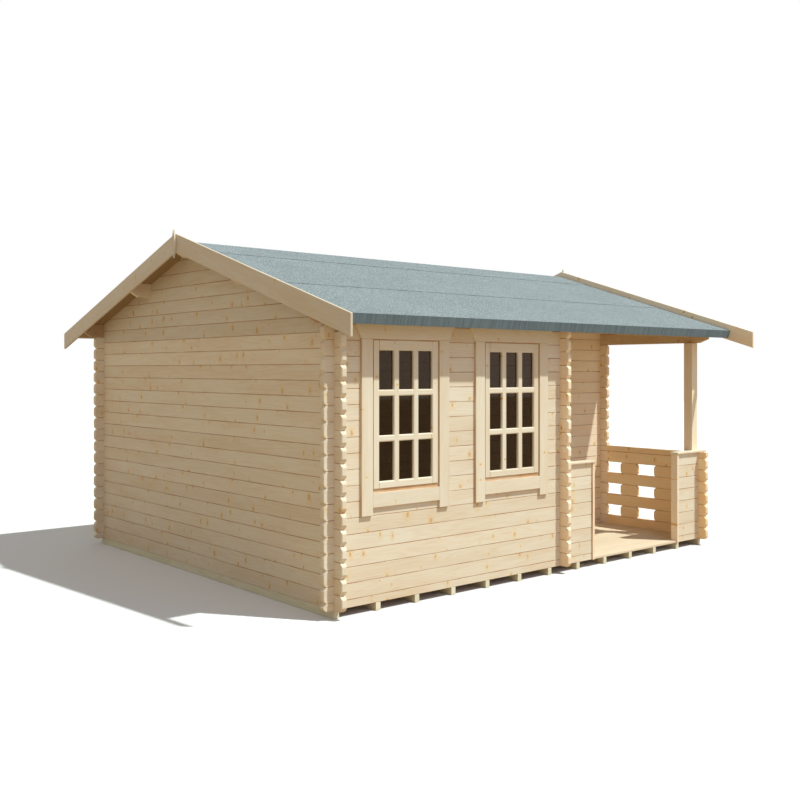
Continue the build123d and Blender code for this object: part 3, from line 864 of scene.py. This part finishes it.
def apexPlates():
    wide, high, thick = barge["plate"]
    top = barge["top"] + (ridgeY + barge["out"]) * rise + barge["plateAbove"]
    piece = startPiece()
    for x0 in (-roof["verge"] - thick, cabin["length"] + roof["verge"]):
        trims = [((x0, ridgeY + s * wide / 2, top - high / 2), (0, s * high, t * wide))
                 for s in (-1, 1) for t in (-1, 1)]
        addSlab(piece, (x0, ridgeY - wide / 2, top - high), (x0 + thick, ridgeY + wide / 2, top),
                "z", "y", edge=barge["edge"], trims=trims)
    finishPiece(piece, "apexPlates", ["apex_plates"], bargeTimber)


for build in (roofBoards, eaveFascias, bargeboards, apexPlates):
    build()
print("roof timber built")


def addFrame(piece, x, front, back, half, low, high, foot=True):
    # uprights run through; the head and foot lie between them, and all reach in to the sash
    face, fit = windows["frameFace"], windows["fit"]
    beside, above, below = windows["slot"]
    # the frame is painted with shade all over, as it is seen only in the dark slots
    look = {"edge": windows["frameEdge"], "paintedShade": windows["framePaintedShade"]}
    inner = half - beside + fit
    bottom = low - face if foot else low
    for x0, x1 in ((x - half - face, x - inner), (x + inner, x + half + face)):
        addSlab(piece, (x0, front, bottom), (x1, back, high + face), "z", "x", **look)
    addSlab(piece, (x - inner, front, high - above + fit), (x + inner, back, high + face), "x", "z",
            **look)
    if foot:
        addSlab(piece, (x - inner, front, low - face), (x + inner, back, low + below - fit), "x", "z",
                **look)


toFront, toRight, toTop = (0, -1, 0), (1, 0, 0), (0, 0, 1)
toLeft, toFoot = (-1, 0, 0), (0, 0, -1)


def addBars(piece, x, front, foot, thick):
    # two upright and two level bars with rounded outer edges
    paneWide, paneHigh = windows["pane"]
    barWide, barHigh = windows["bar"]
    into, behind = windows["barIn"], windows["barBack"]
    dayHalf = 1.5 * paneWide + barWide
    top = foot + 3 * paneHigh + 2 * barHigh
    for side in (-1, 1):
        middle = x + side * (paneWide + barWide) / 2
        addSlab(piece, (middle - barWide / 2, front, foot - into),
                (middle + barWide / 2, front + thick, top + into), "z", "x",
                edge=windows["barEdge"], moulded=[(toFront, toRight), (toFront, toLeft)])
    for row in (0, 1):
        low = foot + paneHigh + row * (paneHigh + barHigh)
        addSlab(piece, (x - dayHalf - into, front + behind, low),
                (x + dayHalf + into, front + thick - behind, low + barHigh), "x", "z",
                edge=windows["barEdge"], moulded=[(toFront, toTop), (toFront, toFoot)])
    return dayHalf, top


def addSash(piece, x, front, half, low, high, foot, thick, midRail):
    # foot is the panes' foot and midRail the height of the rail under it
    dayHalf, top = addBars(piece, x, front, foot, thick)
    left, right, back, paintedShade = x - dayHalf, x + dayHalf, front + thick, windows["sashPaintedShade"]
    # painted shade on the stiles' outer edges and the top rail's top edge
    for x0, z0, x1, z1, along, wide, inward, paintedShades in (
            (x - half, low, left, high, "z", "x", toRight, (paintedShade, 0)),
            (right, low, x + half, high, "z", "x", toLeft, (0, paintedShade)),
            (left, top, right, high, "x", "z", toFoot, (0, paintedShade)),
            (left, foot - midRail, right, foot, "x", "z", toTop, (0, 0))):
        addSlab(piece, (x0, front, z0), (x1, back, z1), along, wide, edge=windows["sashEdge"],
                moulded=[(toFront, inward)], edgeStain=paintedShades)
    return dayHalf


def addSurround(sides, heads, x, face, half, foot, headLow, headHigh):
    # outside boards beside and over a window or door
    board, out, flare = windows["board"], windows["boardOut"], windows["flare"]
    edge, paintedShade = windows["boardEdge"], windows["boardPaintedShade"]
    outer, inner = windows["sidePaintedShade"]
    # the side boards get painted shade on both long edges, the head board on its top and bottom edges
    for x0, x1, paintedShades in ((x - half - board, x - half, (outer, inner)),
                           (x + half, x + half + board, (inner, outer))):
        addSlab(sides, (x0, face - out, foot), (x1, face, headLow), "z", "x", edge=edge, edgeStain=paintedShades)
    wide = half + board
    rake = [((x + s * wide, face, headLow), (s * (headHigh - headLow), 0, -flare)) for s in (-1, 1)]
    addSlab(heads, (x - wide - flare, face - out, headLow), (x + wide + flare, face, headHigh),
            "x", "z", edge=edge, trims=rake, edgeStain=(paintedShade, paintedShade))


def windowPieces():
    sides, heads, sills, frames, sashes = [startPiece() for _ in range(5)]
    half, inner = windows["clear"] / 2, windows["clear"] / 2 - windows["fit"]
    sillLow, sillHigh = windows["sill"]
    low, high = windows["sash"]
    beside, above, below = windows["slot"]
    paintedShade, foot = windows["boardPaintedShade"], windows["paneFoot"]
    for x in windows["middles"]:
        addSurround(sides, heads, x, 0, half, windows["sideFoot"], *windows["head"])
        addSlab(sills, (x - half, -windows["boardOut"], sillLow), (x + half, 0, sillHigh), "x", "z",
                edge=windows["boardEdge"], edgeStain=(paintedShade, paintedShade))
        addFrame(frames, x, -windows["frameOut"], logThick + windows["frameBack"], inner, low, high)
        addSash(sashes, x, -windows["sashOut"], inner - beside, low + below, high - above, foot,
                windows["sashThick"], foot - (low + below))
    for piece, name, node in ((sides, "windowSideBoards", "window_boards"),
                              (heads, "windowHeadBoards", "window_heads"),
                              (sills, "windowSillBoards", "window_sills"),
                              (frames, "windowFrames", "window_frames"),
                              (sashes, "windowSashes", "window_sashes")):
        finishPiece(piece, name, [node], boardTimber)


def doorPieces():
    sides, heads, frames, leaf = [startPiece() for _ in range(4)]
    x, front, foot, railHigh = door["middle"], cabin["porch"], door["foot"], door["rail"]
    half, fit, face = door["leaf"] / 2, windows["fit"], windows["frameFace"]
    top = door["top"] - door["gap"] - face
    addFrame(frames, x, front, recessBack + windows["frameBack"], half + fit, foot, top, foot=False)
    beside, above = windows["slot"][:2]
    leafTop = top - above
    paneFoot = leafTop - railHigh - 3 * windows["pane"][1] - 2 * windows["bar"][1]
    dayHalf = addSash(leaf, x, front, half - beside, foot + fit, leafTop, paneFoot, door["thick"], railHigh)
    panelFoot = foot + 2 * railHigh
    addSlab(leaf, (x - dayHalf, front, foot + fit), (x + dayHalf, front + door["thick"], panelFoot),
            "x", "z", edge=door["lowRailEdge"], moulded=[(toFront, toTop)])
    wide = 2 * dayHalf / door["panels"]
    panelFront, panelBack = [front + depth for depth in door["panel"]]
    for i in range(door["panels"]):
        x0, x1 = x - dayHalf + i * wide, x - dayHalf + (i + 1) * wide
        addSlab(leaf, (x0, panelFront, panelFoot), (x1, panelBack, paneFoot - railHigh), "z", "x")
    headFoot, headTop = windows["head"]
    boardTop = door["top"] - face / 2
    addSurround(sides, heads, x, front, doorHalf - door["gap"] - face / 2, door["boardFoot"], boardTop,
                boardTop + headTop - headFoot)
    for piece, name, node in ((frames, "doorFrame", "door_frame"), (leaf, "doorLeaf", "door_leaf"),
                              (sides, "doorSideBoards", "door_boards"),
                              (heads, "doorHeadBoard", "door_head")):
        finishPiece(piece, name, [node], boardTimber)


porch = {
    "leftEnd": partitionEnd + .380,          # the panels end here, and between them is the way in
    "rightEnd": cabin["length"] - .387,
    "trim": (.028, .071),
    "trimPaintedShade": .7,         # painted shade on the trim's side beside the panel's logs
    "cap": .018,
    "capOut": .009,          # past the trim, front and back
    "capSide": .002,
    "capPast": .070,         # right cap past the end of the cabin
    "seat": .001,            # gap round what a cap is notched for
    "edge": .003,
    "post": .094,
    "postGap": .005,
    "postEdge": .004,
}
trimThick, trimWide = porch["trim"]
trimFront = (logThick - trimWide) / 2
trimBack = trimFront + trimWide
postX = rightX + logThick / 2 - porch["post"] / 2
postY = logThick + porch["postGap"]


def porchPanels():
    leftEnd, rightEnd, top = porch["leftEnd"], porch["rightEnd"], cabin["railTop"]
    for side, start, end, ends in (
            ("left", partitionEnd, leftEnd, ("flush", "flush")),
            ("right", rightEnd, cabin["length"] + logEnd, ("flush", "free"))):
        piece = startPiece()
        addWall(piece, "x", 0, start, end, 0, top, ends=ends)
        finishPiece(piece, side + "PanelLogs", ["porch_panel_" + side], logTimber)


def panelTrims():
    piece = startPiece()
    paintedShade = porch["trimPaintedShade"]
    # each trim is painted with shade on its side beside the panel's logs
    for x0, paintedShades in ((porch["leftEnd"], (paintedShade, 0)), (porch["rightEnd"] - trimThick, (0, paintedShade))):
        addSlab(piece, (x0, trimFront, 0), (x0 + trimThick, trimBack, cabin["railTop"]), "z", "x",
                edge=porch["edge"], edgeStain=paintedShades)
    finishPiece(piece, "panelTrims", ["panel_trims"], porchLitTimber)


def cornerPost():
    piece = startPiece()
    side = porch["post"]
    addSlab(piece, (postX, postY, cabin["railTop"]), (postX + side, postY + side, cabin["gableFoot"]),
            "z", "x", edge=porch["postEdge"])
    finishPiece(piece, "cornerPost", ["corner_post"], postLitTimber)


def panelCaps():
    # the left cap is notched round the log ends, the right one round the post
    piece = startPiece()
    seat, past, low = porch["seat"], porch["capSide"], cabin["railTop"]
    front, back = trimFront - porch["capOut"], trimBack + porch["capOut"]
    logsEnd = partitionEnd + logEnd + seat
    notch = postX - seat
    capEnd = cabin["length"] + porch["capPast"]
    for x0, x1, y0, y1, ends in (
            (logsEnd, porch["leftEnd"] + trimThick + past, front, back, ("flush", "butt")),
            (partitionEnd, logsEnd, front, -seat, ("butt", "flush")),
            (partitionEnd, logsEnd, logThick + seat, back, ("butt", "flush")),
            (porch["rightEnd"] - trimThick - past, notch, front, back, ("butt", "flush")),
            (notch, capEnd, front, postY - seat, ("flush", "butt"))):
        addSlab(piece, (x0, y0, low), (x1, y1, low + porch["cap"]), "x", "y", edge=porch["edge"], ends=ends)
    finishPiece(piece, "panelCaps", ["panel_caps"], boardTimber)


floors = {
    "board": .090,
    "thick": .020,
    "gap": .002,
    "edge": .0015,
    "least": .001,           # narrower strips are left out
    "bearers": 13,
    "bearerWide": .044,
    "bearerHigh": .060,
    "bearerEdge": .003,
}


def addFloor(piece, rows):
    top = floors["thick"]
    for x0, x1, y0, y1 in rows:
        addSlab(piece, (x0, y0, 0), (x1, y1, top), "x", "y", edge=floors["edge"], segments=1)


def porchFloor():
    piece = startPiece()
    gap = floors["gap"]
    frontX = porch["leftEnd"] + trimThick + gap, porch["rightEnd"] - trimThick - gap
    back = cabin["porch"] - gap
    split = logThick + trimWide / 2          # in front of it the boards lie between the trims
    count = round(back / floors["board"])
    wide = back / count
    rows = []
    for i in range(count):
        y0, y1 = i * wide, (i + 1) * wide
        if y0 < split:
            rows.append((*frontX, y0, min(y1, split)))
        if y1 > split:
            rows.append((partitionEnd + gap, rightX - gap, max(y0, split), y1))
    addFloor(piece, rows)
    finishPiece(piece, "porchFloorBoards", ["porch_floor"], floorTimber)


def roomFloor():
    piece = startPiece()
    gap, porchFront, partition = floors["gap"], cabin["porch"], cabin["partition"]
    low, high = logThick + gap, backY - gap
    zones = ((low, porchFront - gap, partition - gap),
             (porchFront - gap, recessBack + gap, partition - logEnd - gap),
             (recessBack + gap, high, rightX - gap))
    count = round((high - low) / floors["board"])
    wide = (high - low) / count
    rows = []
    for i in range(count):
        y0, y1 = low + i * wide, low + (i + 1) * wide
        for a, b, x1 in zones:
            if min(y1, b) - max(y0, a) > floors["least"]:
                rows.append((logThick + gap, x1, max(y0, a), min(y1, b)))
    addFloor(piece, rows)
    finishPiece(piece, "roomFloorBoards", ["room_floor"], floorTimber)


def floorBearers():
    piece = startPiece()
    count, wide = floors["bearers"], floors["bearerWide"]
    for i in range(count):
        x0 = i * (cabin["length"] - wide) / (count - 1)
        addSlab(piece, (x0, 0, -floors["bearerHigh"]), (x0 + wide, cabin["width"], 0), "y", "z",
                edge=floors["bearerEdge"])
    finishPiece(piece, "bearers", ["floor_bearers"], bearerTimber)


for build in (windowPieces, doorPieces, porchPanels, panelTrims, cornerPost, panelCaps, porchFloor,
              roomFloor, floorBearers):
    build()
print("windows, door, porch and floors built")

# felt, glass and handle show the solids themselves; the rest get a finish all the same
shownAs = {"roof_felt_front": roofFelt, "roof_felt_back": roofFelt, "ridge_felt": roofFelt,
           "window_glass": shadeTintedGlass, "door_glass": shadeTintedGlass, "door_handle": handleSteel}
for name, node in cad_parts.items():
    node.data.materials.clear()
    node.data.materials.append(shownAs.get(name, boardTimber))

studio = {
    "floor": 40.0,                   # half its side
    "below": .0005,                  # floor under the cabin
    "floorSeen": (.84, .84, .84),
    "floorLit": (.43, .32, .205),    # what the floor throws back at the cabin
    "sky": (1, .98, .90),
    "world": .40,
    "sun": {"power": 3.76, "colour": (.917, 1, .957), "turn": 35.0, "high": 60.0, "soft": 1.2},
    "fill": {"power": .33, "colour": (.24, .41, 1), "turn": 0.0, "high": 30.0, "soft": 60.0},
}


def studioFloor():
    material, tree, shader = newMaterial("studioFloor")
    seen = addNode(tree, "LightPath").outputs["Is Camera Ray"]
    grey = [(*studio[key], 1.0) for key in ("floorLit", "floorSeen")]
    tree.links.new(mixColour(tree, seen, *grey), shader.inputs["Base Color"])
    shader.inputs["Roughness"].default_value = .9
    shader.inputs["Specular IOR Level"].default_value = .1
    piece = bmesh.new()
    bmesh.ops.create_grid(piece, x_segments=1, y_segments=1, size=studio["floor"])
    bmesh.ops.translate(piece, vec=(0, 0, cadBox[0].z - studio["below"]), verts=piece.verts)
    obj = makeObject(piece, "studioFloor", material)


def studioWorld():
    # a soft even light; white where it is seen, mirrored or looked at through glass
    world = bpy.data.worlds.new("studioWorld")
    bpy.context.scene.world = world
    world.use_nodes = True
    tree = world.node_tree
    path = addNode(tree, "LightPath").outputs
    seen = calc(tree, "MAXIMUM", path["Is Glossy Ray"], path["Is Transmission Ray"])
    seen = calc(tree, "MAXIMUM", path["Is Camera Ray"], seen)
    level = calc(tree, "ADD", calc(tree, "MULTIPLY", seen, 1 - studio["world"]), studio["world"])
    background = tree.nodes["Background"]
    sky = mixColour(tree, seen, (*studio["sky"], 1.0), (1, 1, 1, 1))
    tree.links.new(sky, background.inputs["Color"])
    tree.links.new(level, background.inputs["Strength"])


def studioLamps():
    for name in ("sun", "fill"):
        given = studio[name]
        lamp = bpy.data.lights.new(name, "SUN")
        lamp.energy, lamp.color, lamp.angle = given["power"], given["colour"], math.radians(given["soft"])
        obj = bpy.data.objects.new(name, lamp)
        turn, high = math.radians(given["turn"]), math.radians(given["high"])
        toLamp = Vector((math.sin(turn) * math.cos(high), -math.cos(turn) * math.cos(high),
                         math.sin(high)))
        obj.rotation_euler = toLamp.to_track_quat("Z", "Y").to_euler()
        bpy.context.scene.collection.objects.link(obj)


view = {
    "place": (-6.273, -7.373, 1.732),
    "way": (.6475, .7621, 0),
    "lens": 43.74,
    "sensor": 36.0,
    "shift": -.0378,
}


def photoCamera():
    camera = bpy.data.cameras.new("camera")
    camera.lens = view["lens"]
    camera.sensor_width = view["sensor"]
    camera.shift_y = view["shift"]
    obj = bpy.data.objects.new("camera", camera)
    obj.location = view["place"]
    obj.rotation_euler = Vector(view["way"]).to_track_quat("-Z", "Y").to_euler()
    bpy.context.scene.collection.objects.link(obj)
    bpy.context.scene.camera = obj


for build in (studioFloor, studioWorld, studioLamps, photoCamera):
    build()
bpy.context.scene.view_settings.view_transform = "Standard"
print("scene ready")
